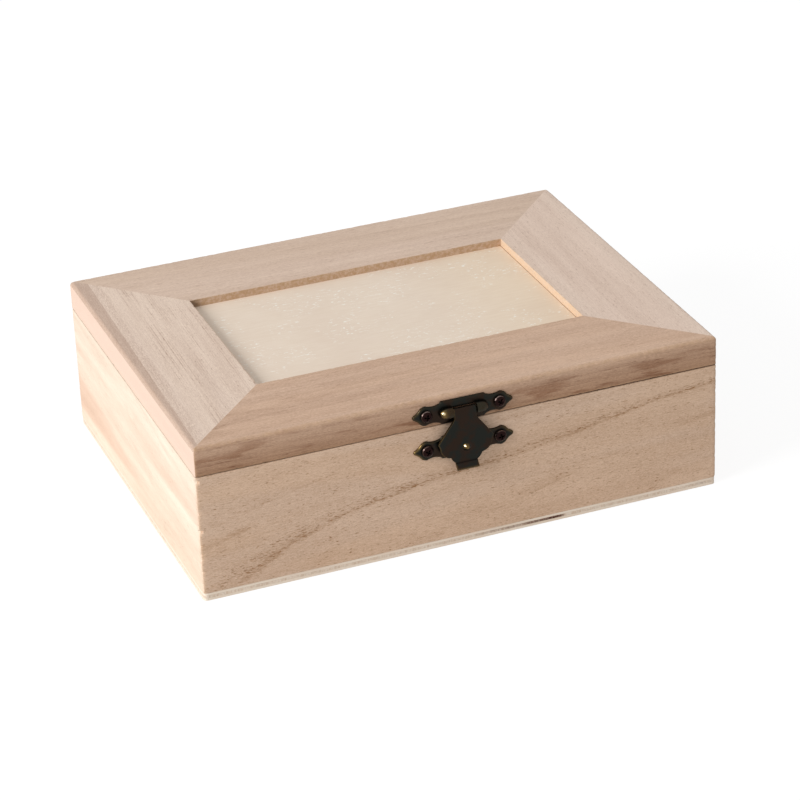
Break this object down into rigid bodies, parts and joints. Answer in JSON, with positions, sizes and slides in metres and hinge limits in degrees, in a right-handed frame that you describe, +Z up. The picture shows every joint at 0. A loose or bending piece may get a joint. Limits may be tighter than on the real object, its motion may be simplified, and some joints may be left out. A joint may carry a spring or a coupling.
{
  "type": "photo storage box",
  "caption": "Low hinged wooden box for photographs with mitred boards, a framed lid round a recessed panel, outside butt hinges and a stamped front hasp.",
  "frame": {"origin": "centre of the flat underside, on the surface that the box stands on", "axes": "+Z up, +X to the right along the hasp side, +Y from the hasp side to the hinge side"},
  "size_m": [0.2, 0.1592, 0.0607],
  "materials": {
    "solid_wood": "bare, sanded",
    "plywood": "bare plywood",
    "panel_wood": "bare, sanded",
    "bright_steel": "bright wire",
    "antique_bronze": "dark antique bronze plating on stamped steel",
    "screw_bronze": "dark antique bronze plating"
  },
  "bodies": {
    "box": {"front_board": "solid_wood", "back_board": "solid_wood", "left_board": "solid_wood", "right_board": "solid_wood", "bottom_panel": "plywood", "bottom_brads": "bright_steel", "catch_plate": "antique_bronze", "catch_plate_screws": "screw_bronze", "hinge_left_box_leaf": "antique_bronze", "hinge_right_box_leaf": "antique_bronze", "hinge_left_pin": "antique_bronze", "hinge_right_pin": "antique_bronze", "hinge_box_screws": "screw_bronze"},
    "lid": {"frame_front": "solid_wood", "frame_back": "solid_wood", "frame_left": "solid_wood", "frame_right": "solid_wood", "picture_panel": "panel_wood", "hasp_plate": "antique_bronze", "hasp_plate_screws": "screw_bronze", "hinge_left_lid_leaf": "antique_bronze", "hinge_right_lid_leaf": "antique_bronze", "hinge_lid_screws": "screw_bronze"},
    "hasp": {"hasp_leaf": "antique_bronze"}
  },
  "joints": [
    {"name": "lid_hinge", "type": "hinge", "parent": "box", "child": "lid", "pos_m": [0, 0.0774, 0.04945], "axis": [-1, 0, 0], "range_deg": [0, 180]},
    {"name": "hasp_swing", "type": "hinge", "parent": "lid", "child": "hasp", "pos_m": [-0.0002, -0.07715, 0.05425], "axis": [-1, 0, 0], "range_deg": [0, 150]}
  ]
}
